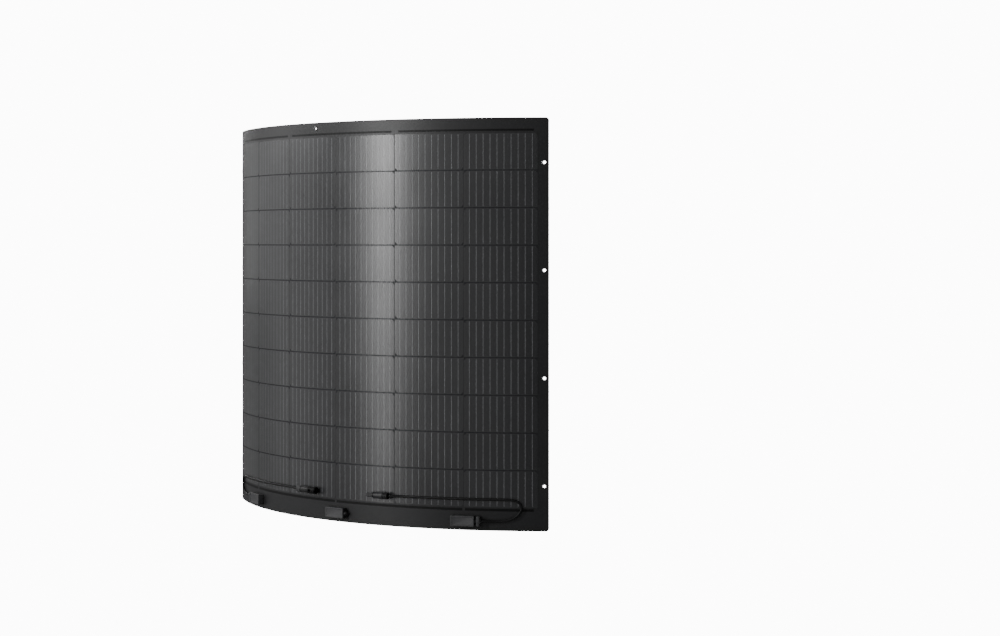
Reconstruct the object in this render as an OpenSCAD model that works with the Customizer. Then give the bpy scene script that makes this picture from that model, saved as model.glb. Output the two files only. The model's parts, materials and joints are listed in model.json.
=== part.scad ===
// Flexible solar sheet, stood on its lower edge and bowed about an upright axis.
// The sunny, convex face looks towards -Y. X runs along the sheet and Z is up.
// A place on the sheet is given by three numbers: s, the distance along the
// sunny face from its middle; z, the height; and lift, the height off that face.

/* [Sheet] */
// Width of the sheet, measured along its curve
sheet_w = 1158; // [1150:1:1200]
// Height of the sheet
sheet_h = 1010; // [1000:1:1060]
// Thickness of the whole laminate
sheet_t = 2.5; // [2.2:0.1:3.5]
// Radius of the sheet's corners
corner_r = 8; // [2:1:15]
// Radius of the sunny face in the stored, bowed pose
bend_r = 850.5; // [600:0.5:2000]

/* [Cells] */
// Width of a half cell
cell_w = 182; // [180:0.5:183]
// Height of a half cell
cell_h = 91; // [88:0.5:91.5]
// Distance from one column of cells to the next
column_pitch = 184; // [183.5:0.1:186]
// Distance from one row of cells to the next
row_pitch = 91.7; // [91.6:0.1:92]
// Height of the lowest row above the lower edge
cells_z = 56.5; // [52:0.5:60]
// Leg of the cut corners of a half cell
cell_chamfer = 7.35; // [3:0.05:10]
// Distance between the wires soldered to a cell
wire_pitch = 17.28; // [16:0.02:18]
// Width of a wire
wire_w = 0.5; // [0.3:0.1:1]

/* [Collecting ribbons] */
// Width of the upper collecting ribbons
upper_ribbon_w = 5; // [3:0.5:8]
// Height of the middle of the upper collecting ribbons
upper_ribbon_z = 979.5; // [978:0.5:983]
// Width of the lower collecting ribbons
lower_ribbon_w = 6; // [3:0.5:6]
// Height of the middle of the lower collecting ribbons
lower_ribbon_z = 51; // [49:0.5:51]

/* [Eyelets] */
// Radius of the clear hole in an eyelet
eyelet_hole_r = 3.5; // [3:0.25:4.5]
// Radius of an eyelet's flange
eyelet_flange_r = 6.75; // [6.5:0.25:9]
// Distance of the side eyelets from the sheet's side edge
eyelet_inset = 11.5; // [10:0.5:15]
// Distance between the side eyelets
eyelet_pitch = 263.3; // [200:0.1:280]
// Place along the sheet of the single eyelet in the upper edge
upper_eyelet_s = -74; // [-120:1:-60]
// Height of the single eyelet in the upper edge
upper_eyelet_z = 995; // [990:1:998]

/* [Junction boxes] */
// Length of a box along the sheet
box_l = 60; // [50:1:62]
// Height of a box
box_h = 26; // [22:1:30]
// Depth of a box, off the sheet
box_d = 16; // [14:0.5:20]
// Height of the boxes' middle above the lower edge
box_z = 24; // [20:1:26]
// Wall of a box
box_wall = 2; // [1.5:0.1:2.5]
// Depth of a box's lid
lid_d = 3; // [2:0.5:4]

/* [Leads and connectors] */
// Diameter of a lead
lead_d = 6; // [5:0.1:6.2]
// Radius of a connector's barrel
connector_r = 8.5; // [8:0.1:9]
// Radius of the left connector's coupling sleeve
sleeve_r = 8.9; // [8.5:0.1:9.5]

/* [Hidden] */
$fn = 48;
arc_fn = 720;
columns = 6;
rows = 10;
wires = 10;

// The sheet bends at these lines, and is one rigid strip between two of them.
fold_lines = [-460, -310.5, -224, -144, -40, 75, 184, 259, 328, 460];
fold_gap = 0.9;
strips = len(fold_lines) + 1;

// Depths below the sunny face at which the layers of the laminate meet
film_depth = 0.5;
wire_depth = 0.7;
cell_depth = 0.9;
layer_gap = 0.02;
pocket_clear = 0.1;

// Collecting ribbons as [from, to] along the sheet
ribbon_end = 542;
upper_ribbons = [[-ribbon_end, -193.5], [-174.5, 174.5], [193.5, ribbon_end]];
lower_ribbons = [[-ribbon_end, -371.5], [-364.5, -3], [3, 364.5], [371.5, ribbon_end]];

// Box middles along the sheet: left, middle and right
box_s = [-360, 8, 368];
box_corner_r = 2.5;
glue_gap = 0.1;
neck_l = 5;
neck_r = 4.9;
clamp_l = 8;
clamp_rim_r = 6.5;
clamp_h = 25;
clamp_d = 15;
plug_l = 9;
plug_r = 5;
port_r = 3.6;
port_lift = 8;

eyelet_barrel_r = 5;
eyelet_flange_t = 1.2;
washer_t = 1;
washer_gap = 0.06;
hole_clear = 0.05;

// Connector places: middle along the sheet, height and lift of the axis.
// The left one is the longer, and its half length is also its sleeve's reach.
connector_half_l = 36.5;
left_connector = [-95.5, 73.5, 10.2];
right_connector = [141.5, 76.3, 10.2];

// Routes of the leads as [s, z, lift], from inside the cable clamp to inside the connector's nut
lead_sides = 10;
lead_steps = 2;
right_route = [
    [394, 24, 8.5], [405, 24, 8.9], [411, 24, 9.1], [419, 24, 8.8], [430, 24, 7], [441, 24, 5],
    [452, 24, 3.9], [464, 24.4, 3.6], [477, 26.3, 3.6], [489, 30.4, 3.6], [499, 36.2, 3.6], [506.5, 43.6, 3.6],
    [511, 52, 3.6], [511.3, 59.8, 3.6], [507.5, 67.2, 3.6], [500, 72.9, 3.6], [490, 75.9, 3.6],
    [475, 76.6, 3.6], [445, 76.7, 3.6], [405, 76.7, 3.6], [365, 76.7, 3.6], [325, 76.7, 3.6],
    [285, 76.6, 3.6], [245, 76.5, 3.6], [215, 76.4, 3.9], [203, 76.3, 5.2], [192, 76.3, 7.5],
    [182, 76.3, 9.8], [174, 76.3, 10.8], [167, 76.3, 10.6], [159, 76.3, 10.4], [150, 76.3, 10.2]
];
left_route = [
    [-386, 24, 8.5], [-397, 24, 8.9], [-403, 24, 9.1], [-411, 24, 8.8], [-422, 24, 7], [-433, 24, 5],
    [-444, 24, 3.9], [-458, 24, 3.6], [-473, 24.2, 3.6], [-488, 25.2, 3.6], [-502, 28.2, 3.6], [-513, 33.6, 3.6],
    [-521, 41, 3.6], [-524, 50, 3.6], [-521.5, 58.5, 3.6], [-515, 65, 3.6], [-505, 68.7, 3.6],
    [-490, 69.8, 3.6], [-460, 70.4, 3.6], [-420, 71, 3.6], [-380, 71.5, 3.6], [-340, 72, 3.6],
    [-300, 72.4, 3.6], [-260, 72.8, 3.6], [-220, 73.1, 3.6], [-180, 73.4, 3.9], [-166, 73.5, 5.2],
    [-154, 73.5, 7.6], [-143, 73.5, 9.9], [-135, 73.5, 11], [-127, 73.5, 10.8],
    [-115, 73.5, 10.4], [-104, 73.5, 10.2]
];

// The bend axis stands where the object's middle is at Y = 0. The left connector's sleeve
// reaches furthest to the front, and the sheet's rear edges furthest to the back.
front_reach = (bend_r + left_connector[2] + sleeve_r) * cos(deg(left_connector[0]))
    + connector_half_l * sin(abs(deg(left_connector[0])));
back_reach = (bend_r - sheet_t) * cos(deg(sheet_w / 2));
bend_axis_y = (front_reach + back_reach) / 2;

SIDES = ["left", "middle", "right"];

// Angle round the bend axis of a distance along the sunny face
function deg(s) = s / bend_r * 180 / PI;

// A place on the sheet as a point
function place(s, z, lift) = [
    (bend_r + lift) * sin(deg(s)),
    bend_axis_y - (bend_r + lift) * cos(deg(s)),
    z
];

// Ends along the sheet of strip i, which counts from 0 at the left edge
function strip_from(i) = i == 0 ? -sheet_w / 2 : fold_lines[i - 1] + fold_gap / 2;
function strip_to(i) = i == strips - 1 ? sheet_w / 2 : fold_lines[i] - fold_gap / 2;

// Ends and middle of column c, which counts from 0 at the left
function column_mid(c) = (c + 0.5 - columns / 2) * column_pitch;
function column_from(c) = column_mid(c) - cell_w / 2;
function column_to(c) = column_mid(c) + cell_w / 2;

// The strings run up and down in turn, so the cut corners do too.
function cut_at_top(c) = c % 2 == 1;

// Puts its children on the sunny face: X along the sheet, -Y outwards, Z up
module on_sheet(s, z = 0, lift = 0) {
    translate([0, bend_axis_y, 0])
        rotate([0, 0, deg(s)])
            translate([0, -bend_r - lift, z])
                children();
}

// Turns an outline drawn in X and Z into a block that stands off the face
module standing(depth) {
    rotate([90, 0, 0])
        linear_extrude(depth)
            children();
}

// A piece of the curved sheet between two places, two heights and two depths
module arc_slab(from, to, z0, z1, depth0, depth1) {
    if (to > from)
        translate([0, bend_axis_y, z0])
            rotate([0, 0, deg(from) - 90])
                rotate_extrude(angle = deg(to - from), $fn = arc_fn)
                    translate([bend_r - depth1, 0])
                        square([depth1 - depth0, z1 - z0]);
}

// The same, kept to strip i
module strip_slab(i, from, to, z0, z1, depth0, depth1) {
    arc_slab(max(from, strip_from(i)), min(to, strip_to(i)), z0, z1, depth0, depth1);
}

module rounded_rect(l, h, r) {
    square([l - 2 * r, h], center = true);
    square([l, h - 2 * r], center = true);
    for (x = [-1, 1], y = [-1, 1])
        translate([x * (l / 2 - r), y * (h / 2 - r)])
            circle(r);
}

function side_eyelet_z(k) = sheet_h / 2 + (k - 1.5) * eyelet_pitch;
side_eyelet_s = sheet_w / 2 - eyelet_inset;

// Every eyelet that goes through strip i, as [s, z]
function strip_eyelets(i) = [
    for (e = concat(
        [for (k = [0:3]) [-side_eyelet_s, side_eyelet_z(k)]],
        [for (k = [0:3]) [side_eyelet_s, side_eyelet_z(k)]],
        [[upper_eyelet_s, upper_eyelet_z]]
    ))
    if (e[0] > strip_from(i) && e[0] < strip_to(i)) e
];

// What is cut from every layer of strip i: eyelet holes and rounded corners
module strip_cuts(i) {
    for (e = strip_eyelets(i))
        on_sheet(e[0], e[1])
            rotate([90, 0, 0])
                cylinder(r = eyelet_barrel_r + hole_clear, h = 4 * sheet_t, center = true);
    if (i == 0) side_corners(-1);
    if (i == strips - 1) side_corners(1);
}

// A corner's arc crosses the sheet's edges at a slight angle.
module side_corners(side) {
    corner_over = 0.12;
    for (top = [0, 1])
        on_sheet(side * (sheet_w / 2 - corner_r), top ? sheet_h - corner_r : corner_r)
            translate([0, 2 * sheet_t, 0])
                standing(4 * sheet_t)
                    mirror([side < 0 ? 1 : 0, 0])
                        mirror([0, top ? 0 : 1])
                            difference() {
                                square(corner_r + 2);
                                circle(corner_r + corner_over);
                            }
}

module backing(i) {
    color("#26272a")
        difference() {
            arc_slab(strip_from(i), strip_to(i), 0, sheet_h, cell_depth + layer_gap, sheet_t);
            strip_cuts(i);
        }
}

// The clear film, and under it the encapsulant that fills round the cells and ribbons
module front_film(i) {
    color("#1d1e21")
        difference() {
            arc_slab(strip_from(i), strip_to(i), 0, sheet_h, 0, film_depth);
            strip_cuts(i);
        }
    color("#1d1e21")
        difference() {
            arc_slab(strip_from(i), strip_to(i), 0, sheet_h, film_depth + layer_gap, cell_depth);
            strip_cuts(i);
            for (c = [0:columns - 1])
                strip_slab(
                    i, column_from(c) - pocket_clear, column_to(c) + pocket_clear,
                    cells_z - pocket_clear, cells_z + (rows - 1) * row_pitch + cell_h + pocket_clear,
                    film_depth, cell_depth + 1
                );
            for (r = upper_ribbons)
                ribbon_slab(i, r, upper_ribbon_z, upper_ribbon_w + 2 * pocket_clear, film_depth, cell_depth + 1);
            for (r = lower_ribbons)
                ribbon_slab(i, r, lower_ribbon_z, lower_ribbon_w + 2 * pocket_clear, film_depth, cell_depth + 1);
        }
}

module ribbon_slab(i, ribbon, z, w, depth0, depth1) {
    strip_slab(i, ribbon[0], ribbon[1], z - w / 2, z + w / 2, depth0, depth1);
}

// The half cells, the wires over them and the collecting ribbons
module cell_string(i) {
    color("#15171b")
        for (c = [0:columns - 1], k = [0:rows - 1])
            if (column_from(c) < strip_to(i) && column_to(c) > strip_from(i))
                half_cell(i, c, cells_z + k * row_pitch);
    color("#b9bcc0")
        for (c = [0:columns - 1], w = [0:wires - 1])
            wire(i, column_mid(c) + (w - (wires - 1) / 2) * wire_pitch);
    color("#b9bcc0") {
        for (r = upper_ribbons)
            ribbon_slab(i, r, upper_ribbon_z, upper_ribbon_w, film_depth + layer_gap, wire_depth);
        for (r = lower_ribbons)
            ribbon_slab(i, r, lower_ribbon_z, lower_ribbon_w, film_depth + layer_gap, wire_depth);
    }
}

module half_cell(i, c, z) {
    difference() {
        strip_slab(
            i, column_from(c), column_to(c), z, z + cell_h, wire_depth + layer_gap, cell_depth
        );
        for (side = [-1, 1])
            if (column_mid(c) + side * cell_w / 2 > strip_from(i) - 1
                && column_mid(c) + side * cell_w / 2 < strip_to(i) + 1)
                on_sheet(column_mid(c) + side * cell_w / 2, cut_at_top(c) ? z + cell_h : z)
                    translate([0, 2 * sheet_t, 0])
                        standing(4 * sheet_t)
                            mirror([side < 0 ? 1 : 0, 0])
                                mirror([0, cut_at_top(c) ? 0 : 1])
                                    polygon([
                                        [1, 1],
                                        [-cell_chamfer - 1, 1],
                                        [1, -cell_chamfer - 1]
                                    ]);
    }
}

module wire(i, s) {
    if (s > strip_from(i) && s < strip_to(i))
        arc_slab(
            s - wire_w / 2, s + wire_w / 2, cells_z, cells_z + (rows - 1) * row_pitch + cell_h,
            film_depth + layer_gap, wire_depth
        );
}

// Boxes: n is 0 at the left, 1 in the middle and 2 at the right.
// The ports look outwards, and the middle box has its spare one at the right.
function port_side(n) = n == 0 ? -1 : 1;

module on_box(n) {
    on_sheet(box_s[n], box_z, glue_gap)
        mirror([port_side(n) < 0 ? 1 : 0, 0, 0])
            children();
}

module box_base(n) {
    base_d = box_d - lid_d;
    color("#3a3b3e")
        on_box(n)
            difference() {
                union() {
                    standing(base_d)
                        rounded_rect(box_l, box_h, box_corner_r);
                    translate([box_l / 2 - 1, -port_lift, 0])
                        rotate([0, 90, 0])
                            cylinder(r = n == 1 ? plug_r : neck_r, h = n == 1 ? 2 : neck_l + 1);
                }
                translate([0, -box_wall, 0])
                    standing(base_d)
                        rounded_rect(box_l - 2 * box_wall, box_h - 2 * box_wall, 1);
                translate([0, -port_lift, 0])
                    rotate([0, 90, 0])
                        cylinder(r = port_r, h = box_l);
                translate([-10, 1, 0])
                    standing(box_wall + 2)
                        square([16, 10], center = true);
            }
}

module box_lid(n) {
    lip = 1.5;
    lip_clear = 0.15;
    color("#45464a")
        on_box(n)
            translate([0, lid_d - box_d, 0]) {
                difference() {
                    standing(lid_d)
                        rounded_rect(box_l, box_h, box_corner_r);
                    translate([0, 0.8 - lid_d, 0])
                        standing(1)
                            rounded_rect(box_l - 8, box_h - 8, 1.5);
                }
                translate([0, lip, 0])
                    standing(lip)
                        difference() {
                            rounded_rect(
                                box_l - 2 * (box_wall + lip_clear), box_h - 2 * (box_wall + lip_clear), 1
                            );
                            rounded_rect(box_l - 2 * (box_wall + 1.2), box_h - 2 * (box_wall + 1.2), 1);
                        }
            }
}

// A bypass diode between its two terminal plates
module bypass_diode(n) {
    diode_r = 2.6;
    plate_t = 0.8;
    color("#1a1a1a")
        on_box(n)
            translate([0, -box_wall - plate_t - diode_r, 5])
                rotate([0, 90, 0])
                    cylinder(r = diode_r, h = 9, center = true);
    color("#c9c4b8")
        on_box(n)
            for (x = [-1, 1])
                translate([x * 12, -box_wall, 0])
                    standing(plate_t)
                        square([14, 18], center = true);
}

module cable_clamp(n) {
    rim_l = 3;
    color("#4b4c50")
        on_box(n)
            translate([box_l / 2 + neck_l + clamp_l / 2, 0, 0])
                difference() {
                    union() {
                        translate([0, -0.5, 0])
                            standing(clamp_d)
                                rounded_rect(clamp_l, clamp_h, 2.5);
                        translate([clamp_l / 2 - 0.5, -port_lift, 0])
                            rotate([0, 90, 0])
                                cylinder(r1 = clamp_rim_r, r2 = lead_d / 2 + 1.4, h = rim_l);
                    }
                    translate([0, -port_lift, 0])
                        rotate([0, 90, 0])
                            cylinder(r = port_r, h = 4 * clamp_l, center = true);
                }
}

module blanking_plug() {
    color("#232427")
        on_box(1)
            translate([box_l / 2 + 1.1, -port_lift, 0])
                rotate([0, 90, 0])
                    rotate_extrude()
                        polygon([
                            [0, -4], [port_r - 0.1, -4], [port_r - 0.1, 0], [plug_r, 0],
                            [plug_r, plug_l - 5], [plug_r - 2, plug_l - 1.5], [1, plug_l], [0, plug_l]
                        ]);
}

// Connectors: parts are turned about the local X axis, and side says which way the nut looks
module on_connector(at, side) {
    on_sheet(at[0], at[1], at[2])
        mirror([side < 0 ? 1 : 0, 0, 0])
            rotate([0, 90, 0])
                children();
}

// A ring or barrel from x0 to x1 along the connector
module barrel(x0, x1, r, bore = 0) {
    translate([0, 0, x0])
        difference() {
            cylinder(r = r, h = x1 - x0);
            if (bore > 0)
                translate([0, 0, -1])
                    cylinder(r = bore, h = x1 - x0 + 2);
        }
}

nut_bore_r = lead_d / 2 + 0.5;
contact_r = 2;
contact_bore_r = contact_r + hole_clear;
spigot_r = 5.6;

// The right half has a slim spigot with two latch arms.
module connector_body_right() {
    color("#3c3d40")
        on_connector(right_connector, 1)
            difference() {
                union() {
                    barrel(-8.5, 15.5, connector_r);
                    barrel(-31.5, -8.5, spigot_r);
                    for (turn = [90, 270])
                        rotate([0, 0, turn])
                            translate([6.6, -2.5, -30])
                                cube([1.7, 5, 24]);
                }
                translate([0, 0, -32])
                    cylinder(r = 4.4, h = 22);
                cylinder(r = contact_bore_r, h = 30, center = true);
                translate([0, 0, 2])
                    cylinder(r = nut_bore_r, h = 20);
            }
}

// The left half has a wide coupling sleeve with two windows for the latch arms.
module connector_body_left() {
    color("#2b2c2f")
        on_connector(left_connector, -1)
            difference() {
                union() {
                    barrel(-8.5, 20.5, connector_r - 0.6);
                    barrel(-connector_half_l, -8.5, sleeve_r);
                }
                translate([0, 0, -connector_half_l - 1])
                    cylinder(r = spigot_r + 0.7, h = 27);
                cylinder(r = contact_bore_r, h = 30, center = true);
                translate([0, 0, 2])
                    cylinder(r = nut_bore_r, h = 20);
                for (turn = [90, 270])
                    rotate([0, 0, turn])
                        translate([5, -3, -22])
                            cube([8, 6, 8]);
            }
}

module connector_nut(at, side, x0, x1) {
    grips = 12;
    color("#1c1d1f")
        on_connector(at, side)
            difference() {
                barrel(x0, x1, connector_r, nut_bore_r);
                for (k = [0:grips - 1])
                    rotate([0, 0, k * 360 / grips])
                        translate([connector_r + 0.6, 0, x0 + 3])
                            cylinder(r = 1.2, h = x1 - x0);
            }
}

module connector_contact(at, side, x0, x1, bore) {
    color("#c8c9cc")
        on_connector(at, side)
            difference() {
                barrel(x0, x1, contact_r);
                if (bore > 0)
                    translate([0, 0, x0 - 1])
                        cylinder(r = bore, h = (x1 - x0) / 2);
            }
}

module connector_seal(at, side, x0, r, bore) {
    color("#8a3b20")
        on_connector(at, side)
            barrel(x0, x0 + 2, r, bore);
}

// A front flange and barrel, and a rear washer, both clamped on the sheet
module eyelet() {
    rear = sheet_t + washer_gap + washer_t;
    rotate([90, 0, 0])
        difference() {
            union() {
                translate([0, 0, -rear])
                    cylinder(r = eyelet_barrel_r, h = rear + eyelet_flange_t);
                rotate_extrude()
                    polygon([
                        [eyelet_barrel_r - 0.5, 0], [eyelet_flange_r, 0], [eyelet_flange_r, 0.5],
                        [eyelet_flange_r - 1, eyelet_flange_t], [eyelet_barrel_r - 0.5, eyelet_flange_t]
                    ]);
            }
            cylinder(r = eyelet_hole_r, h = 4 * rear, center = true);
        }
    translate([0, rear, 0])
        rotate([90, 0, 0])
            difference() {
                cylinder(r = eyelet_flange_r, h = washer_t);
                translate([0, 0, -1])
                    cylinder(r = eyelet_barrel_r + hole_clear, h = washer_t + 2);
            }
}

module side_eyelets(side) {
    color("#2e2f32")
        for (k = [0:3])
            on_sheet(side * side_eyelet_s, side_eyelet_z(k))
                eyelet();
}

module eyelet_upper() {
    color("#2e2f32")
        on_sheet(upper_eyelet_s, upper_eyelet_z)
            eyelet();
}

// Small foam pads that hold a connector off the sheet
module lead_pads(at) {
    pad_gap = 0.05;
    color("#1a1a1b")
        for (x = [-1, 1])
            on_sheet(at[0] + x * 12, at[1], pad_gap)
                standing(at[2] - sleeve_r - 2 * pad_gap)
                    rounded_rect(10, 6, 1);
}

// Leads: a round tube swept along the route by Catmull-Rom curves
function curve(a, b, c, d, t) = 0.5 * (
    2 * b + (c - a) * t + (2 * a - 5 * b + 4 * c - d) * t * t + (3 * b - a - 3 * c + d) * t * t * t
);

function smooth(route) = [
    for (k = [0:len(route) - 2], j = [0:lead_steps - 1])
        curve(
            route[max(k - 1, 0)], route[k], route[k + 1], route[min(k + 2, len(route) - 1)],
            j / lead_steps
        ),
    route[len(route) - 1]
];

function unit(v) = v / norm(v);

module lead(route) {
    path = smooth(route);
    points = [for (q = path) place(q[0], q[1], q[2])];
    last = len(points) - 1;
    rings = [
        for (k = [0:last])
            let (
                along = unit(points[min(k + 1, last)] - points[max(k - 1, 0)]),
                out = [sin(deg(path[k][0])), -cos(deg(path[k][0])), 0],
                across = unit(cross(along, out)),
                up = cross(across, along)
            )
            [
                for (j = [0:lead_sides - 1])
                    let (a = j * 360 / lead_sides)
                        points[k] + lead_d / 2 * (cos(a) * across + sin(a) * up)
            ]
    ];
    color("#161617")
        polyhedron(
            points = [for (ring = rings, p = ring) p],
            faces = concat(
                [[for (j = [0:lead_sides - 1]) j]],
                [
                    for (k = [0:last - 1], j = [0:lead_sides - 1])
                        let (n = (j + 1) % lead_sides, a = k * lead_sides, b = a + lead_sides)
                            [a + j, b + j, b + n, a + n]
                ],
                [[for (j = [lead_sides - 1:-1:0]) last * lead_sides + j]]
            )
        );
}

for (i = [0:strips - 1]) {
    backing(i);
    cell_string(i);
    front_film(i);
}
for (n = [0:2]) {
    box_base(n);
    box_lid(n);
    bypass_diode(n);
}
cable_clamp(0);  // cable_clamp_left
cable_clamp(2);  // cable_clamp_right
blanking_plug();
lead(left_route);  // lead_left
lead(right_route);  // lead_right
connector_body_left();
connector_nut(left_connector, -1, 20.6, connector_half_l);  // connector_nut_left
connector_contact(left_connector, -1, -28, 6, 1);  // connector_contact_left
connector_seal(left_connector, -1, 14, nut_bore_r - hole_clear, 3.1);  // connector_seal_left
connector_body_right();
connector_nut(right_connector, 1, 15.6, 31.2);  // connector_nut_right
connector_contact(right_connector, 1, -26, 4, 0);  // connector_contact_right
connector_seal(right_connector, 1, -11, 6.5, spigot_r + hole_clear);  // connector_seal_right
side_eyelets(-1);  // eyelets_left
side_eyelets(1);  // eyelets_right
eyelet_upper();
lead_pads(left_connector);  // lead_pads_left
lead_pads(right_connector);  // lead_pads_right
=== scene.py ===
"""Looks of the flexible solar sheet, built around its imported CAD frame.

Lengths are in metres in the row frame. A place on the sheet is given as in the CAD: s, the
distance along the sunny face from its middle, z, the height, and lift, the height off the face.
"""
import json
import math
import random

import bmesh
import bpy
from mathutils import Matrix, Vector


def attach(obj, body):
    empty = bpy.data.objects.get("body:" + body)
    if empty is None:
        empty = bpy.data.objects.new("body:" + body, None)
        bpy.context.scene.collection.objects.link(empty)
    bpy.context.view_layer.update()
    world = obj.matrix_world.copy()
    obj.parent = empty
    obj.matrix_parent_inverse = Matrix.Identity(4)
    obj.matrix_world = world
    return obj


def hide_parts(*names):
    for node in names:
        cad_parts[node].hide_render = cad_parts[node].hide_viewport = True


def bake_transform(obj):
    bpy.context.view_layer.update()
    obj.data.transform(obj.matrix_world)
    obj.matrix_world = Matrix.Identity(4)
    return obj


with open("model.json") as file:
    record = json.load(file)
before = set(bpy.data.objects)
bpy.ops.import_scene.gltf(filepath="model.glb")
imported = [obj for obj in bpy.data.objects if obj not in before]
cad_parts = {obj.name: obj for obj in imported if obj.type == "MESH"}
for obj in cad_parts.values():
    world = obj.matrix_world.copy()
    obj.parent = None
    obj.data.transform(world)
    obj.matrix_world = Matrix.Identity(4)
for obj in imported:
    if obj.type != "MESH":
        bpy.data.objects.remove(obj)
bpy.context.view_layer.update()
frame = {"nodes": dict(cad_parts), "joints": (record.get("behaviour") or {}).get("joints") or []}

MM = 0.001

# The sheet, its cells and its ribbons
BEND_R = 850.5 * MM
SHEET_W, SHEET_H, SHEET_T = 1158 * MM, 1010 * MM, 2.5 * MM
CORNER_R = 8 * MM
EDGE_ROUND = 0.45 * MM
SINK, SINK_REACH = 0.09 * MM, 1 * MM  # how deep the film sinks beside a cell, and how far out
SHARP_ANGLE, LEAD_SHARP_ANGLE = 35, 60  # degrees between two faces that make a sharp edge
COLUMNS, ROWS, WIRES = 6, 10, 10
CELL_W, CELL_H, CELLS_Z = 182 * MM, 91 * MM, 56.5 * MM
COLUMN_PITCH, ROW_PITCH, WIRE_PITCH = 184 * MM, 91.7 * MM, 17.28 * MM
WIRE_W, WIRE_END = 0.8 * MM, 3 * MM
ROW_EDGE = 0.9 * MM  # the dark border of a cell along its row gaps
CHAMFER = 7.35 * MM
UPPER_STRIPS = [(-542, -193.5), (-174.5, 174.5), (193.5, 542)]
LOWER_STRIPS = [(-542, -371.5), (-364.5, -3), (3, 364.5), (371.5, 542)]
UPPER_Z, UPPER_W = 979.5 * MM, 5 * MM
LOWER_Z, LOWER_W = 51 * MM, 6 * MM

# The eyelets
EYELET_INSET, EYELET_PITCH = 11.5 * MM, 263.3 * MM
EYELET_S = SHEET_W / 2 - EYELET_INSET
UPPER_EYELET = (-74 * MM, 995 * MM)
EYELET_R = 5.05 * MM  # radius of the round hole in the sheet
EYELET_BLOCK = 5 * MM  # half the side of the grid's square that becomes that hole
SIDE_EYELETS = [SHEET_H / 2 + (k - 1.5) * EYELET_PITCH for k in range(4)]

# Where the visual sheet is divided into pieces, and how far each fold's bend spreads
SEAMS = [-519.5, -385.25, -271, -184, -92, 17.5, 129.5, 221.5, 293.5, 394, 519.5]
FOLDS = [-460, -310.5, -224, -144, -40, 75, 184, 259, 328, 460]

# The boxes, leads and connectors
BOX_S = {"left": -360 * MM, "middle": 8 * MM, "right": 368 * MM}
BOX_BODY = {"left": "strip_02", "middle": "strip_06", "right": "strip_10"}
BOX_L, BOX_H, BOX_D, LID_D, BOX_Z = 60 * MM, 26 * MM, 16 * MM, 3 * MM, 24 * MM
BOX_CORNER_R = 2.5 * MM
GLUE_GAP, PORT_LIFT = 0.1 * MM, 8 * MM
LEAD_D = 6 * MM
LEFT_CONNECTOR = (-95.5, 73.5, 10.2)
RIGHT_CONNECTOR = (141.5, 76.3, 10.2)
RIGHT_ROUTE = [
    (394, 24, 8.5), (405, 24, 8.9), (411, 24, 9.1), (419, 24, 8.8), (430, 24, 7), (441, 24, 5),
    (452, 24, 3.9), (464, 24.4, 3.6), (477, 26.3, 3.6), (489, 30.4, 3.6), (499, 36.2, 3.6),
    (506.5, 43.6, 3.6), (511, 52, 3.6), (511.3, 59.8, 3.6), (507.5, 67.2, 3.6), (500, 72.9, 3.6),
    (490, 75.9, 3.6), (475, 76.6, 3.6), (445, 76.7, 3.6), (405, 76.7, 3.6), (365, 76.7, 3.6),
    (325, 76.7, 3.6), (285, 76.6, 3.6), (245, 76.5, 3.6), (215, 76.4, 3.9), (203, 76.3, 5.2),
    (192, 76.3, 7.5), (182, 76.3, 9.8), (174, 76.3, 10.8), (167, 76.3, 10.6), (159, 76.3, 10.4),
    (150, 76.3, 10.2),
]
LEFT_ROUTE = [
    (-386, 24, 8.5), (-397, 24, 8.9), (-403, 24, 9.1), (-411, 24, 8.8), (-422, 24, 7), (-433, 24, 5),
    (-444, 24, 3.9), (-458, 24, 3.6), (-473, 24.2, 3.6), (-488, 25.2, 3.6), (-502, 28.2, 3.6),
    (-513, 33.6, 3.6), (-521, 41, 3.6), (-524, 50, 3.6), (-521.5, 58.5, 3.6), (-515, 65, 3.6),
    (-505, 68.7, 3.6), (-490, 69.8, 3.6), (-460, 70.4, 3.6), (-420, 71, 3.6), (-380, 71.5, 3.6),
    (-340, 72, 3.6), (-300, 72.4, 3.6), (-260, 72.8, 3.6), (-220, 73.1, 3.6), (-180, 73.4, 3.9),
    (-166, 73.5, 5.2), (-154, 73.5, 7.6), (-143, 73.5, 9.9), (-135, 73.5, 11), (-127, 73.5, 10.8),
    (-115, 73.5, 10.4), (-104, 73.5, 10.2),
]

# The axis of the bow, from the hinge "bend", which lies in mid-thickness at the sixth fold
main_bend = next(j for j in frame["joints"] if j["name"] == "bend")
AXIS_Y = main_bend["pos_m"][1] + (BEND_R - SHEET_T / 2) * math.cos(FOLDS[5] * MM / BEND_R)


def place(s, z, lift=0.0):
    """A place on the sheet as a point in the row frame."""
    return Vector((
        (BEND_R + lift) * math.sin(s / BEND_R),
        AXIS_Y - (BEND_R + lift) * math.cos(s / BEND_R),
        z,
    ))


def on_sheet(s, z, lift=0.0, side=1):
    """Local X runs along the sheet, -Y outwards and Z up; side -1 mirrors X."""
    return (
        Matrix.Translation((0, AXIS_Y, 0))
        @ Matrix.Rotation(s / BEND_R, 4, "Z")
        @ Matrix.Translation((0, -BEND_R - lift, z))
        @ Matrix.Diagonal((side, 1, 1, 1))
    )


def linked(name, data):
    """A new object with this data, in the scene."""
    made = bpy.data.objects.new(name, data)
    bpy.context.scene.collection.objects.link(made)
    return made


# ---------------------------------------------------------------- materials


def new_material(name):
    mat = bpy.data.materials.new(name)
    mat.use_nodes = True
    nodes = mat.node_tree.nodes
    shader = nodes["Principled BSDF"]
    return mat, nodes, mat.node_tree.links, shader


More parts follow.
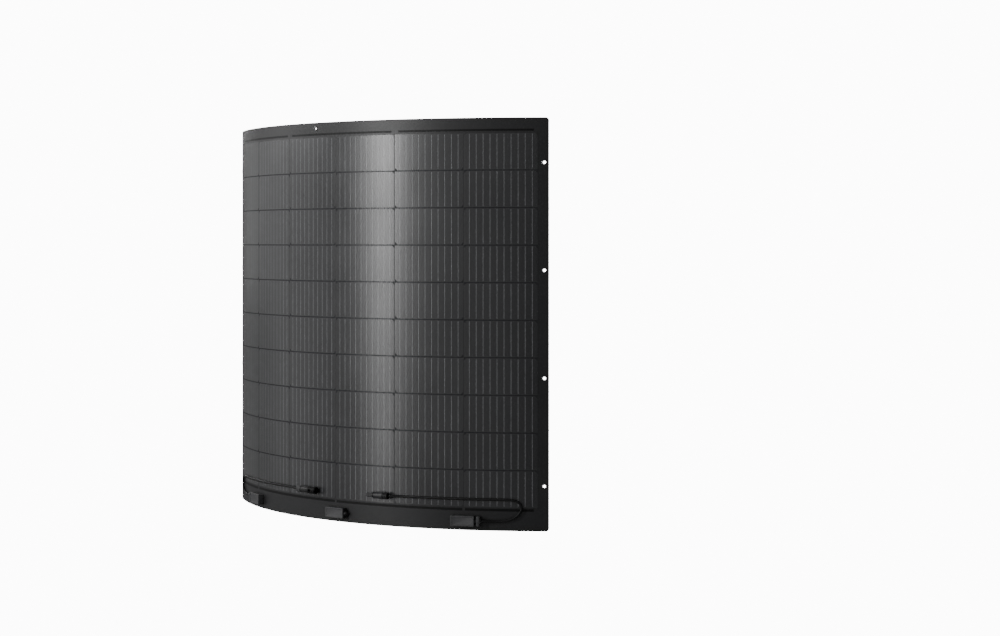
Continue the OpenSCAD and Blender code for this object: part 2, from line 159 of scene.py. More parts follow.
def noise(nodes, links, coords, scale, detail=2.0, rough=0.5):
    made = nodes.new("ShaderNodeTexNoise")
    made.inputs["Scale"].default_value = scale
    made.inputs["Detail"].default_value = detail
    made.inputs["Roughness"].default_value = rough
    links.new(coords, made.inputs["Vector"])
    return made.outputs["Fac"]


def mapped(nodes, links, value, low, high, to_low=0.0, to_high=1.0):
    made = nodes.new("ShaderNodeMapRange")
    for key, number in zip(("From Min", "From Max", "To Min", "To Max"), (low, high, to_low, to_high)):
        made.inputs[key].default_value = number
    links.new(value, made.inputs["Value"])
    return made.outputs["Result"]


def pingpong(nodes, links, value, reach):
    """Rises with the value from 0 to reach and falls back, over and over."""
    made = nodes.new("ShaderNodeMath")
    made.operation = "PINGPONG"
    made.inputs[1].default_value = reach
    links.new(value, made.inputs[0])
    return made.outputs[0]


def mixed(nodes, links, factor, a, b):
    """Colour a at factor 0 and colour b at 1; each is a socket or three numbers."""
    made = nodes.new("ShaderNodeMix")
    made.data_type = "RGBA"
    links.new(factor, made.inputs["Factor"])
    for socket, value in ((made.inputs[6], a), (made.inputs[7], b)):
        if isinstance(value, bpy.types.NodeSocket):
            links.new(value, socket)
        else:
            socket.default_value = (*value, 1)
    return made.outputs[2]


def bumped(nodes, links, shader, height, strength, distance):
    made = nodes.new("ShaderNodeBump")
    made.inputs["Strength"].default_value = strength
    made.inputs["Distance"].default_value = distance
    links.new(height, made.inputs["Height"])
    links.new(made.outputs["Normal"], shader.inputs["Normal"])


def moulded(name, dark, light, rough=(0.4, 0.55), grain=2200, relief=0.04, specular=0.5, blotch=35):
    """Moulded plastic or rubber: a fine spark-eroded grain, faint blotches and uneven gloss."""
    mat, nodes, links, shader = new_material(name)
    coords = nodes.new("ShaderNodeTexCoord").outputs["Object"]
    cloud = noise(nodes, links, coords, blotch, 3)
    fine = noise(nodes, links, coords, grain, 2, 0.6)
    colour = mixed(nodes, links, mapped(nodes, links, cloud, 0.3, 0.7), dark, light)
    links.new(colour, shader.inputs["Base Color"])
    links.new(mapped(nodes, links, cloud, 0.25, 0.75, *rough), shader.inputs["Roughness"])
    shader.inputs["Specular IOR Level"].default_value = specular
    bumped(nodes, links, shader, fine, 0.5, relief * MM)
    return mat


def film(name, base, lines=None, specular=0.5, rough=(0.3, 0.36), tone=0.0):
    """What shows through the clear front film: its own gloss, a fine emboss and faint haze."""
    mat, nodes, links, shader = new_material(name)
    coords = nodes.new("ShaderNodeTexCoord")
    place_on = coords.outputs["UV"]
    haze = noise(nodes, links, place_on, 7, 3)
    emboss = noise(nodes, links, place_on, 1100, 1, 0.5)
    lighter = tuple(1.25 * c for c in base)
    colour = mixed(nodes, links, mapped(nodes, links, haze, 0.3, 0.7), base, lighter)
    if tone:
        shade = nodes.new("ShaderNodeAttribute")
        shade.attribute_name = "tone"
        bright = mapped(nodes, links, shade.outputs["Fac"], 0, 1, 1 - tone, 1 + tone)
        scaled = nodes.new("ShaderNodeVectorMath")
        scaled.operation = "SCALE"
        links.new(colour, scaled.inputs[0])
        links.new(bright, scaled.inputs["Scale"])
        colour = scaled.outputs[0]
    if lines:
        period, share, line_colour = lines
        split = nodes.new("ShaderNodeSeparateXYZ")
        links.new(place_on, split.inputs[0])
        wave = pingpong(nodes, links, split.outputs["Y"], period / 2)
        on_line = mapped(nodes, links, wave, 0, period * share, 1, 0)
        colour = mixed(nodes, links, on_line, colour, line_colour)
    links.new(colour, shader.inputs["Base Color"])
    links.new(mapped(nodes, links, haze, 0.25, 0.75, *rough), shader.inputs["Roughness"])
    shader.inputs["Specular IOR Level"].default_value = specular
    bumped(nodes, links, shader, emboss, 0.25, 0.02 * MM)
    return mat


def metal(name, colour, dull, rough=(0.25, 0.45), metallic=1.0, scratches=900):
    """Metal or lacquered metal: fine scratches and duller patches."""
    mat, nodes, links, shader = new_material(name)
    coords = nodes.new("ShaderNodeTexCoord").outputs["Object"]
    patch = noise(nodes, links, coords, 160, 3)
    fine = noise(nodes, links, coords, scratches, 4, 0.7)
    worn = mixed(nodes, links, mapped(nodes, links, patch, 0.35, 0.65), colour, dull)
    links.new(worn, shader.inputs["Base Color"])
    links.new(mapped(nodes, links, patch, 0.3, 0.7, *rough), shader.inputs["Roughness"])
    shader.inputs["Metallic"].default_value = metallic
    bumped(nodes, links, shader, fine, 0.3, 0.02 * MM)
    return mat


def woven(name, dark, light, thread=0.9 * MM):
    """The rear skin: a black glass-cloth weave under a thin satin resin."""
    mat, nodes, links, shader = new_material(name)
    place_on = nodes.new("ShaderNodeTexCoord").outputs["UV"]
    split = nodes.new("ShaderNodeSeparateXYZ")
    links.new(place_on, split.inputs[0])
    weave = nodes.new("ShaderNodeMath")
    weave.operation = "MULTIPLY"
    for axis, socket in zip(("X", "Y"), weave.inputs):
        wave = pingpong(nodes, links, split.outputs[axis], thread)
        links.new(mapped(nodes, links, wave, 0, thread), socket)
    cloud = noise(nodes, links, place_on, 9, 4)
    colour = mixed(nodes, links, mapped(nodes, links, cloud, 0.3, 0.7), dark, light)
    links.new(colour, shader.inputs["Base Color"])
    links.new(mapped(nodes, links, cloud, 0.25, 0.75, 0.42, 0.56), shader.inputs["Roughness"])
    bumped(nodes, links, shader, weave.outputs[0], 0.35, 0.08 * MM)
    return mat


MARGIN = film("film_margin", (0.0115, 0.0116, 0.0124), specular=0.35, rough=(0.41, 0.47))
CELL = film("film_cell", (0.0095, 0.0098, 0.0108), lines=(1.3 * MM, 0.12, (0.03, 0.031, 0.034)),
            specular=0.62, rough=(0.29, 0.34), tone=0.12)
GAP = film("film_gap", (0.017, 0.0174, 0.0187), specular=0.1, rough=(0.42, 0.5))
WIRE = film("film_wire", (0.18, 0.184, 0.193), specular=0.62, rough=(0.3, 0.36))
STRIP = film("film_strip", (0.0018, 0.0018, 0.002), specular=0.19, rough=(0.45, 0.52))
BACK = woven("rear_skin", (0.012, 0.012, 0.013), (0.02, 0.02, 0.0215))
EDGE = moulded("cut_edge", (0.009, 0.009, 0.0095), (0.015, 0.015, 0.016), (0.5, 0.62), 1500)
SHEET_MATERIALS = [MARGIN, CELL, GAP, WIRE, STRIP, BACK, EDGE]
ON_MARGIN, ON_CELL, ON_GAP, ON_WIRE, ON_STRIP, ON_BACK, ON_EDGE = range(7)

# Painted shade: the base, which makes the box's sides, is coloured far darker than the lid of the same
# plastic. This stands in for the shade on the sides.
BOX_SHADED_SIDES_MAT = moulded("box_plastic_painted_shade", (0.016, 0.0162, 0.017), (0.023, 0.0233, 0.0245),
                  (0.5, 0.62), specular=0.3)
LID_MAT = moulded("lid_plastic", (0.042, 0.0425, 0.044), (0.052, 0.0525, 0.0545),
                  (0.5, 0.6), specular=0.32)
CLAMP_MAT = moulded("clamp_plastic", (0.036, 0.0365, 0.038), (0.05, 0.0505, 0.053),
                    (0.48, 0.58), specular=0.3)
PLUG_MAT = moulded("plug_plastic", (0.006, 0.006, 0.0062), (0.01, 0.01, 0.0105),
                   (0.42, 0.55), specular=0.3)
SHELL_MAT = moulded("connector_plastic", (0.022, 0.0224, 0.0236), (0.032, 0.0324, 0.034),
                    (0.42, 0.52), specular=0.32)
BARREL_MAT = moulded("barrel_plastic", (0.012, 0.0122, 0.0128), (0.02, 0.0202, 0.021),
                     (0.42, 0.52), specular=0.3)
# Painted shade: near black for the sleeve of the left shell, darker than the barrel of the same moulding.
# It stands in for the shade over the sleeve.
SLEEVE_PAINTED_SHADE_MAT = moulded("sleeve_plastic_painted_shade", (0.0032, 0.0032, 0.0034), (0.0055, 0.0055, 0.0058),
                     (0.45, 0.55), specular=0.12)
NUT_MAT = moulded("nut_plastic", (0.0036, 0.0036, 0.0038), (0.0065, 0.0065, 0.0068),
                  (0.42, 0.52), specular=0.2)
# Painted light: a lighter copy of the near-black nut plastic for the left nut. It stands in for the light
# falling on that nut.
NUT_PAINTED_LIGHT = moulded("nut_plastic_painted_light", (0.026, 0.0264, 0.0276), (0.036, 0.0364, 0.038),
                   (0.42, 0.52), specular=0.32)
LEAD_MAT = moulded("lead_sheath", (0.0055, 0.0055, 0.0058), (0.009, 0.009, 0.0095),
                   (0.46, 0.56), 1400, 0.03, 0.2)
SEAL_MAT = moulded("seal_rubber", (0.004, 0.004, 0.0042), (0.008, 0.008, 0.0083),
                   (0.55, 0.7), 900, specular=0.2)
PAD_MAT = moulded("pad_foam", (0.01, 0.01, 0.0105), (0.02, 0.02, 0.021), (0.8, 0.95), 600, 0.2)
DIODE_MAT = moulded("diode_epoxy", (0.012, 0.012, 0.012), (0.02, 0.02, 0.02), (0.5, 0.6))
TIN_MAT = metal("tinned_copper", (0.72, 0.71, 0.69), (0.55, 0.54, 0.52))
EYELET_MAT = metal("black_nickel", (0.17, 0.17, 0.175), (0.11, 0.11, 0.114), (0.24, 0.36), 0.95)


# ---------------------------------------------------------------- the laminate


def column_mid(c):
    return (c + 0.5 - COLUMNS / 2) * COLUMN_PITCH


def row_bottom(k):
    return CELLS_Z + k * ROW_PITCH


def ticks(low, high, breaks, step):
    """Places from low to high that hold every break between them, no further apart than step."""
    marks = sorted({round(b, 7) for b in breaks if low + 1e-6 < b < high - 1e-6} | {low, high})
    out = [marks[0]]
    for a, b in zip(marks, marks[1:]):
        n = max(1, math.ceil((b - a) / step - 1e-4))
        out += [a + (b - a) * k / n for k in range(1, n + 1)]
    return out


def cell_marks_s():
    marks = []
    for c in range(COLUMNS):
        mid = column_mid(c)
        for side in (-1, 1):
            edge = mid + side * CELL_W / 2
            marks += [edge, edge - side * CHAMFER / 2, edge - side * CHAMFER, edge + side * SINK_REACH]
        for w in range(WIRES):
            wire = mid + (w - (WIRES - 1) / 2) * WIRE_PITCH
            marks += [wire - WIRE_W / 2, wire + WIRE_W / 2]
    return marks


def cell_marks_z():
    marks = [UPPER_Z - UPPER_W / 2, UPPER_Z + UPPER_W / 2, LOWER_Z - LOWER_W / 2, LOWER_Z + LOWER_W / 2]
    for k in range(ROWS):
        low = row_bottom(k)
        high = low + CELL_H
        marks += [low, low + ROW_EDGE, low + CHAMFER / 2, low + CHAMFER, low + WIRE_END]
        marks += [high, high - ROW_EDGE, high - CHAMFER / 2]
        marks += [high - CHAMFER, high - WIRE_END, (high + row_bottom(k + 1)) / 2]
    return marks


def eyelets_between(low, high):
    found = [(side * EYELET_S, z) for side in (-1, 1) for z in SIDE_EYELETS] + [UPPER_EYELET]
    return [e for e in found if low < e[0] < high]


def outside_cells(s, z):
    """How far a place is from the nearest cell, up to SINK_REACH."""
    c = min(COLUMNS - 1, max(0, math.floor(s / COLUMN_PITCH + COLUMNS / 2)))
    k = min(ROWS - 1, max(0, math.floor((z - CELLS_Z + (ROW_PITCH - CELL_H) / 2) / ROW_PITCH)))
    ds = abs(s - column_mid(c)) - CELL_W / 2
    dz = abs(z - row_bottom(k) - CELL_H / 2) - CELL_H / 2
    return min(SINK_REACH, max(0.0, ds, dz))


def relief(s, z):
    """The film sinks a little between the cells and outside them."""
    t = outside_cells(s, z) / SINK_REACH
    return -SINK * t * t * (3 - 2 * t)


def in_strip(s, z):
    for spans, mid, w in ((UPPER_STRIPS, UPPER_Z, UPPER_W), (LOWER_STRIPS, LOWER_Z, LOWER_W)):
        if abs(z - mid) < w / 2 and any(a * MM < s < b * MM for a, b in spans):
            return True
    return False


def surface_at(s, z):
    """(material, column, row) of what shows at a place; column and row are None off the cells."""
    if in_strip(s, z):
        return ON_STRIP, None, None
    c = math.floor(s / COLUMN_PITCH + COLUMNS / 2)
    k = math.floor((z - CELLS_Z + (ROW_PITCH - CELL_H) / 2) / ROW_PITCH)
    if not (0 <= c < COLUMNS and 0 <= k < ROWS):
        return ON_MARGIN, None, None
    ds, dz = s - column_mid(c), z - row_bottom(k)
    if abs(ds) > CELL_W / 2:
        return ON_MARGIN, None, None
    if not ROW_EDGE < dz < CELL_H - ROW_EDGE:
        inside = CELLS_Z + ROW_EDGE < z < row_bottom(ROWS - 1) + CELL_H - ROW_EDGE
        return (ON_GAP if inside else ON_MARGIN), None, None
    near = ds / WIRE_PITCH + (WIRES - 1) / 2
    wire = abs(near - round(near)) * WIRE_PITCH < WIRE_W / 2 and 0 <= round(near) < WIRES
    if wire and WIRE_END < dz < CELL_H - WIRE_END:
        return ON_WIRE, c, k
    return ON_CELL, c, k


def cut_corner(s, z, c, k):
    """Where cell c, k has a cut corner near a place: (side, top, distance from the cell's side,
    distance from its top or bottom), or None away from the cut corners."""
    top = c % 2 == 1
    a = CELL_W / 2 - abs(s - column_mid(c))
    b = row_bottom(k) + CELL_H - z if top else z - row_bottom(k)
    if a < CHAMFER and b < CHAMFER:
        return (1 if s > column_mid(c) else -1), top, a, b
    return None


def beyond_corner(c, k):
    """What shows in the cut corners of a cell: the dark gap, or the margin in the outermost rows."""
    return ON_MARGIN if k == (ROWS - 1 if c % 2 == 1 else 0) else ON_GAP


def rounded(u, v):
    """A point of the square [-1, 1] moved to the unit disc."""
    return u * math.sqrt(1 - v * v / 2), v * math.sqrt(1 - u * u / 2)


class Builder:
    """Collects vertices, faces and what goes with them."""

    def __init__(self):
        self.verts, self.faces, self.mats, self.uvs, self.tones = [], [], [], [], []

    def vert(self, s, z, lift):
        self.verts.append(place(s, z, lift))
        self.uvs.append((s, z))
        return len(self.verts) - 1

    def face(self, corners, mat, tone=0.5):
        self.faces.append(corners)
        self.mats.append(mat)
        self.tones.append(tone)

    def wall(self, loop, mat):
        """Joins chains of vertices, front to back, that follow the front's own edge direction."""
        for p, q in zip(loop, loop[1:]):
            if len(p) == len(q):
                for n in range(len(p) - 1):
                    self.face([q[n], p[n], p[n + 1], q[n + 1]], mat)
            else:
                self.face([q[0], *p, *reversed(q[1:])], mat)

    def object(self, name, materials):
        mesh = bpy.data.meshes.new(name)
        mesh.from_pydata(self.verts, [], self.faces)
        for mat in materials:
            mesh.materials.append(mat)
        mesh.polygons.foreach_set("material_index", self.mats)
        uv = mesh.uv_layers.new(name="UVMap")
        for loop in mesh.loops:
            uv.data[loop.index].uv = self.uvs[loop.vertex_index]
        tone = mesh.attributes.new("tone", "FLOAT", "FACE")
        tone.data.foreach_set("value", self.tones)
        mesh.shade_smooth()
        mesh.set_sharp_from_angle(angle=math.radians(SHARP_ANGLE))
        return linked(name, mesh)


cell_tones = random.Random(7)
TONES = [[cell_tones.random() for k in range(ROWS)] for c in range(COLUMNS)]


def laminate(name, low, high):
    """A closed piece of the sheet between two places along it."""
    build = Builder()
    left_end, right_end = low <= -SHEET_W / 2, high >= SHEET_W / 2
    eyelets = eyelets_between(low, high)
    marks_s, marks_z = cell_marks_s(), cell_marks_z()
    for spans in (UPPER_STRIPS, LOWER_STRIPS):
        marks_s += [end * MM for span in spans for end in span]
    for es, ez in eyelets:
        for blocks in (-2, -1, -0.5, 0, 0.5, 1, 2):
            marks_s.append(es + blocks * EYELET_BLOCK)
            marks_z.append(ez + blocks * EYELET_BLOCK)
    corner_steps = [CORNER_R * n / 4 for n in range(1, 5)]
    if left_end or right_end:
        marks_z += corner_steps + [SHEET_H - d for d in corner_steps]
        marks_s += [sign * (SHEET_W / 2 - d) for d in corner_steps for sign in (-1, 1)]
    across = ticks(low, high, marks_s, 4 * MM)
    up = ticks(0.0, SHEET_H, marks_z, 24 * MM)
    n_s, n_z = len(across), len(up)

    def warped(s, z):
        """The grid's own place of a vertex: corners are rounded and eyelet holes are round."""
        for end in (-1, 1):
            if (end < 0 and left_end) or (end > 0 and right_end):
                for base, sense in ((CORNER_R, -1), (SHEET_H - CORNER_R, 1)):
                    u = (end * s - (SHEET_W / 2 - CORNER_R)) / CORNER_R
                    v = sense * (z - base) / CORNER_R
                    if u > 0 and v > 0:
                        u, v = rounded(u, v)
                        return end * (SHEET_W / 2 - CORNER_R + u * CORNER_R), base + sense * v * CORNER_R
        for es, ez in eyelets:
            u, v = (s - es) / EYELET_BLOCK, (z - ez) / EYELET_BLOCK
            if max(abs(u), abs(v)) < 1.001:
                u, v = rounded(min(1, max(-1, u)), min(1, max(-1, v)))
                return es + u * EYELET_R, ez + v * EYELET_R
        return s, z

    def inset(s, z, i, j):
        """A vertex of the outline moved inwards, where the rounded edge starts."""
        real_side = (i == 0 and left_end) or (i == n_s - 1 and right_end)
        if not real_side and j not in (0, n_z - 1):
            return s, z
        for end in (-1, 1):
            if (end < 0 and left_end) or (end > 0 and right_end):
                centre_s = end * (SHEET_W / 2 - CORNER_R)
                for centre_z in (CORNER_R, SHEET_H - CORNER_R):
                    out_s, out_z = end * (s - centre_s), abs(z - SHEET_H / 2) - abs(centre_z - SHEET_H / 2)
                    same_half = (z > SHEET_H / 2) == (centre_z > SHEET_H / 2)
                    if same_half and out_s > 1e-7 and out_z > 1e-7:
                        away = Vector((s - centre_s, z - centre_z))
                        moved = away * (1 - EDGE_ROUND / away.length)
                        return centre_s + moved.x, centre_z + moved.y
        if j == 0:
            return s, z + EDGE_ROUND
        if j == n_z - 1:
            return s, z - EDGE_ROUND
        return s + (EDGE_ROUND if i == 0 else -EDGE_ROUND), z

    def hole(i, j):
        mid_s, mid_z = (across[i] + across[i + 1]) / 2, (up[j] + up[j + 1]) / 2
        return any(max(abs(mid_s - es), abs(mid_z - ez)) < EYELET_BLOCK for es, ez in eyelets)

    front, back, spot = {}, {}, {}
    for i in range(n_s):
        for j in range(n_z):
            around = [(i - a, j - b) for a in (0, 1) for b in (0, 1)
                      if 0 <= i - a < n_s - 1 and 0 <= j - b < n_z - 1]
            if all(hole(*q) for q in around):
                continue
            s, z = warped(across[i], up[j])
            spot[i, j] = (s, z)
            fs, fz = inset(s, z, i, j)
            front[i, j] = build.vert(fs, fz, relief(across[i], up[j]))
            back[i, j] = build.vert(fs, fz, -SHEET_T)

    for i in range(n_s - 1):
        for j in range(n_z - 1):
            if hole(i, j):
                continue
            mid_s, mid_z = (across[i] + across[i + 1]) / 2, (up[j] + up[j + 1]) / 2
            mat, c, k = surface_at(mid_s, mid_z)
            tone = 0.5 if c is None else TONES[c][k]
            v00, v10, v11, v01 = (front[q] for q in ((i, j), (i + 1, j), (i + 1, j + 1), (i, j + 1)))
            corner = cut_corner(mid_s, mid_z, c, k) if mat == ON_CELL else None
            if corner is None or corner[2] + corner[3] > CHAMFER * 1.2:
                build.face([v00, v10, v11, v01], mat, tone)
            elif corner[2] + corner[3] < CHAMFER * 0.8:
                build.face([v00, v10, v11, v01], beyond_corner(c, k))
            else:
                side, top = corner[:2]
                if (side > 0) == top:
                    cell, gap = [v00, v10, v01], [v10, v11, v01]
                else:
                    cell, gap = [v00, v10, v11], [v00, v11, v01]
                if not top:
                    cell, gap = gap, cell
                build.face(cell, ON_CELL, tone)
                build.face(gap, beyond_corner(c, k))
            build.face([back[i, j], back[i, j + 1], back[i + 1, j + 1], back[i + 1, j]], ON_BACK)

    chains = {}

    def chain(i, j):
        """Vertices from the front to the back at the outline; a seam goes straight through."""
        if (i, j) not in chains:
            real = j in (0, n_z - 1) or (i == 0 and left_end) or (i == n_s - 1 and right_end)
            middle = []
            if real:
                s, z = spot[i, j]
                middle = [build.vert(s, z, -EDGE_ROUND), build.vert(s, z, -SHEET_T + EDGE_ROUND)]
            chains[i, j] = [front[i, j], *middle, back[i, j]]
        return chains[i, j]

    build.wall([chain(i, 0) for i in range(n_s)], ON_EDGE)
    build.wall([chain(n_s - 1, j) for j in range(n_z)], ON_EDGE)
    build.wall([chain(i, n_z - 1) for i in reversed(range(n_s))], ON_EDGE)
    build.wall([chain(0, j) for j in reversed(range(n_z))], ON_EDGE)
    for es, ez in eyelets:
        sides = (-EYELET_BLOCK, EYELET_BLOCK)
        i0, i1 = (min(range(n_s), key=lambda i: abs(across[i] - es - d)) for d in sides)
        j0, j1 = (min(range(n_z), key=lambda j: abs(up[j] - ez - d)) for d in sides)
        loop = [(i, j0) for i in range(i0, i1)] + [(i1, j) for j in range(j0, j1)]
        loop += [(i, j1) for i in range(i1, i0, -1)] + [(i0, j) for j in range(j1, j0 - 1, -1)]
        build.wall([[front[q], back[q]] for q in reversed(loop)], ON_EDGE)
    return build.object(name, SHEET_MATERIALS)


def sheet_nodes(n):
    return [f"{part}_{n}" for part in ("backing", "cell_string", "front_film")]


# Twelve pieces stand for eleven strips: the second piece replaces the first strip's nodes
seams = [-SHEET_W / 2, *(s * MM for s in SEAMS), SHEET_W / 2]
for n, (low, high) in enumerate(zip(seams, seams[1:])):
    piece = laminate(f"laminate_{n:02d}", low, high)
    if n == 0:
        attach(piece, "strip_01")
    elif n == len(seams) - 2:
        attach(piece, "strip_11")
        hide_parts(*sheet_nodes(11))
    else:
        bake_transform(piece)
        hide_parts(*sheet_nodes(n))


# ---------------------------------------------------------------- small parts


def finished(name, bm, matrix, materials):
    """A mesh piece from bm in its local frame, placed by matrix."""
    bm.transform(matrix)
    if matrix.determinant() < 0:
        bmesh.ops.reverse_faces(bm, faces=bm.faces)
    mesh = bpy.data.meshes.new(name)
    bm.to_mesh(mesh)
    bm.free()
    for mat in materials:
        mesh.materials.append(mat)
    mesh.shade_smooth()
    mesh.set_sharp_from_angle(angle=math.radians(SHARP_ANGLE))
    return linked(name, mesh)


def absorb(bm, other):
    """Adds other to bm and frees it."""
    mesh = bpy.data.meshes.new("absorbed")
    other.to_mesh(mesh)
    other.free()
    bm.from_mesh(mesh)
    bpy.data.meshes.remove(mesh)


def outline(l, h, r, steps=6):
    """A rounded rectangle in X and Z, anticlockwise seen from -Y."""
    points = []
    for sx, sz, start in ((1, -1, -90), (1, 1, 0), (-1, 1, 90), (-1, -1, 180)):
        for n in range(steps + 1):
            a = math.radians(start + 90 * n / steps)
            points.append((sx * (l / 2 - r) + r * math.cos(a), sz * (h / 2 - r) + r * math.sin(a)))
    return points


def add_block(bm, l, h, r, profile, centre=(0, 0)):
    """A rounded block that stands off the sheet. profile lists (lift, inset) from back to front."""
    rings = []
    for lift, inset in profile:
        ring = [bm.verts.new((x + centre[0], -lift, z + centre[1]))
                for x, z in outline(l - 2 * inset, h - 2 * inset, max(0.2 * MM, r - inset))]
        rings.append(ring)
    for a, b in zip(rings, rings[1:]):
        for n in range(len(a)):
            m = (n + 1) % len(a)
            bm.faces.new((a[n], a[m], b[m], b[n]))
    bm.faces.new(list(reversed(rings[0])))
    bm.faces.new(rings[-1])


def add_turned(bm, profile, sides=48, ripple=None, lift=0.0, z=0.0):
    """A closed ring turned about the local X axis. profile lists (x, r) round its section; a
    radius of 0 closes it on the axis. ripple(x, radius, angle) is added to the radius."""
    rings = []
    for x, r in profile:
        if r == 0:
            rings.append([bm.verts.new((x, -lift, z))])
            continue
        ring = []
        for n in range(sides):
            a = 2 * math.pi * n / sides
            rr = r + (ripple(x, r, a) if ripple else 0)
            ring.append(bm.verts.new((x, -lift - rr * math.cos(a), z + rr * math.sin(a))))
        rings.append(ring)
    on_axis = profile[0][1] == 0 or profile[-1][1] == 0
    pairs = list(zip(rings, rings[1:])) + ([] if on_axis else [(rings[-1], rings[0])])
    for a, b in pairs:
        for n in range(sides):
            m = (n + 1) % sides
            if len(a) == 1:
                bm.faces.new((a[0], b[m], b[n]))
            elif len(b) == 1:
                bm.faces.new((a[n], a[m], b[0]))
            else:
                bm.faces.new((a[n], a[m], b[m], b[n]))


def recalculated(bm):
    bmesh.ops.recalc_face_normals(bm, faces=bm.faces)
    return bm


def softened(low, high, soft, n=3):
    """(lift, inset) pairs of a block from low to high with both its edges rounded."""
    pairs = []
    for k in range(n + 1):
        a = math.pi / 2 * k / n
        pairs.append((low + soft * (1 - math.cos(a)), soft * (1 - math.sin(a))))
    for k in range(n + 1):
        a = math.pi / 2 * k / n
        pairs.append((high - soft * (1 - math.sin(a)), soft * (1 - math.cos(a))))
    return pairs


def box_parts(side):
    mirror = -1 if side == "left" else 1
    at = on_sheet(BOX_S[side], BOX_Z, GLUE_GAP, mirror)
    body = BOX_BODY[side]
    base_d = BOX_D - LID_D

    bm = bmesh.new()
    profile = [(0, 0.3 * MM), (0.3 * MM, 0)] + softened(0.3 * MM, base_d, 0.35 * MM)[4:]
    add_block(bm, BOX_L, BOX_H, BOX_CORNER_R, profile)
    neck = 5 * MM if side == "middle" else 4.9 * MM
    reach = 1 * MM if side == "middle" else 5 * MM
    start = BOX_L / 2 - 1 * MM
    add_turned(bm, [(start, 3.4 * MM), (start, neck), (BOX_L / 2 + reach - 0.3 * MM, neck),
                    (BOX_L / 2 + reach, neck - 0.3 * MM), (BOX_L / 2 + reach, 3.4 * MM)], lift=PORT_LIFT)
    # The base's darker colour is painted shade on the box's sides.
    base = finished(f"junction_box_{side}", recalculated(bm), at, [BOX_SHADED_SIDES_MAT])
    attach(base, body)
    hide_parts(f"box_base_{side}")

    bm = bmesh.new()
    lid_low, lid_high, soft = base_d + 0.12 * MM, BOX_D, 0.7 * MM
    profile = [(lid_low, 0.3 * MM), (lid_low + 0.3 * MM, 0)] + softened(lid_low, lid_high, soft)[4:]
    profile += [(lid_high, 3.6 * MM), (lid_high - 0.12 * MM, 3.85 * MM), (lid_high - 0.5 * MM, 4 * MM)]
    profile += [(lid_high - 0.65 * MM, 4.3 * MM)]
    add_block(bm, BOX_L, BOX_H, BOX_CORNER_R, profile)
    lid = finished(f"junction_box_lid_{side}", recalculated(bm), at, [LID_MAT])
    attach(lid, body)
    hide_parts(f"box_lid_{side}")

    bm = bmesh.new()
    if side == "middle":
        x0 = BOX_L / 2 + 1.1 * MM
        add_turned(bm, [(x0 - 4 * MM, 0), (x0 - 4 * MM, 3.3 * MM), (x0, 3.4 * MM), (x0, 4.7 * MM),
                        (x0 + 0.3 * MM, 5 * MM), (x0 + 3.6 * MM, 5 * MM), (x0 + 4.2 * MM, 4.8 * MM),
                        (x0 + 7.2 * MM, 3 * MM), (x0 + 8.6 * MM, 1.4 * MM), (x0 + 9 * MM, 0)],
                   lift=PORT_LIFT)
        name, node_name, mat, slot = "blanking_cap", "blanking_plug", PLUG_MAT, "nut"
    else:
        x0 = BOX_L / 2 + 5 * MM
        ring = softened(0.5 * MM, 15.5 * MM, 1 * MM)
        add_block(bm, 8 * MM, 25 * MM, BOX_CORNER_R, ring, centre=(x0 + 4 * MM, 0))
        x1 = x0 + 8 * MM
        add_turned(bm, [(x1 - 1 * MM, 3.1 * MM), (x1 - 1 * MM, 6.5 * MM), (x1, 6.4 * MM),
                        (x1 + 1 * MM, 5.6 * MM), (x1 + 2.2 * MM, 4.6 * MM), (x1 + 2.5 * MM, 4.2 * MM),
                        (x1 + 2.5 * MM, 3.1 * MM)],
                   lift=PORT_LIFT)
        name, node_name, mat, slot = f"lead_clamp_{side}", f"cable_clamp_{side}", CLAMP_MAT, "clamp"
    made = finished(name, recalculated(bm), at, [mat])
    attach(made, body)
    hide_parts(node_name)
    return made


clamps = {side: box_parts(side) for side in BOX_S}


def eyelet_pieces(name, places, body, nodes):
    bm = bmesh.new()
    for s, z in places:
        one = bmesh.new()
        # turned about the outward direction: local X becomes outwards
        add_turned(one, [(p * MM, r * MM) for p, r in (
            (-3.5, 3.5), (0.55, 3.5), (0.9, 3.65), (1.12, 4.0), (1.2, 4.7), (1.16, 5.3), (0.95, 6.0),
            (0.6, 6.5), (0.2, 6.75), (0.0, 6.7), (0.0, 5.0), (-3.4, 5.0), (-3.56, 4.85), (-3.56, 3.65))])
        add_turned(one, [(p * MM, r * MM) for p, r in (
            (-2.56, 5.05), (-2.56, 6.55), (-2.75, 6.75), (-3.1, 6.75), (-3.4, 6.5), (-3.56, 6.0),
            (-3.56, 5.05))])
        recalculated(one)
        one.transform(on_sheet(s, z) @ Matrix.Rotation(-math.pi / 2, 4, "Z"))
        absorb(bm, one)
    made = finished(name, bm, Matrix.Identity(4), [EYELET_MAT])
    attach(made, body)
    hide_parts(*nodes)


eyelet_pieces("side_eyelets_left", [(-EYELET_S, z) for z in SIDE_EYELETS], "strip_01", ["eyelets_left"])
eyelet_pieces("side_eyelets_right", [(EYELET_S, z) for z in SIDE_EYELETS], "strip_11", ["eyelets_right"])
eyelet_pieces("top_eyelet", [UPPER_EYELET], "strip_05", ["eyelet_upper"])


def connector_matrix(at, side):
    s, z, lift = (v * MM for v in at)
    return on_sheet(s, z, lift, side)


def grips(count, depth, x_from, x_to):
    """Grip grooves round a nut between two places along it."""
    def ripple(x, r, a):
        if not x_from < x < x_to or r < 6 * MM:
            return 0.0
        return -depth * max(0.0, math.cos(count * a)) ** 4
    return ripple


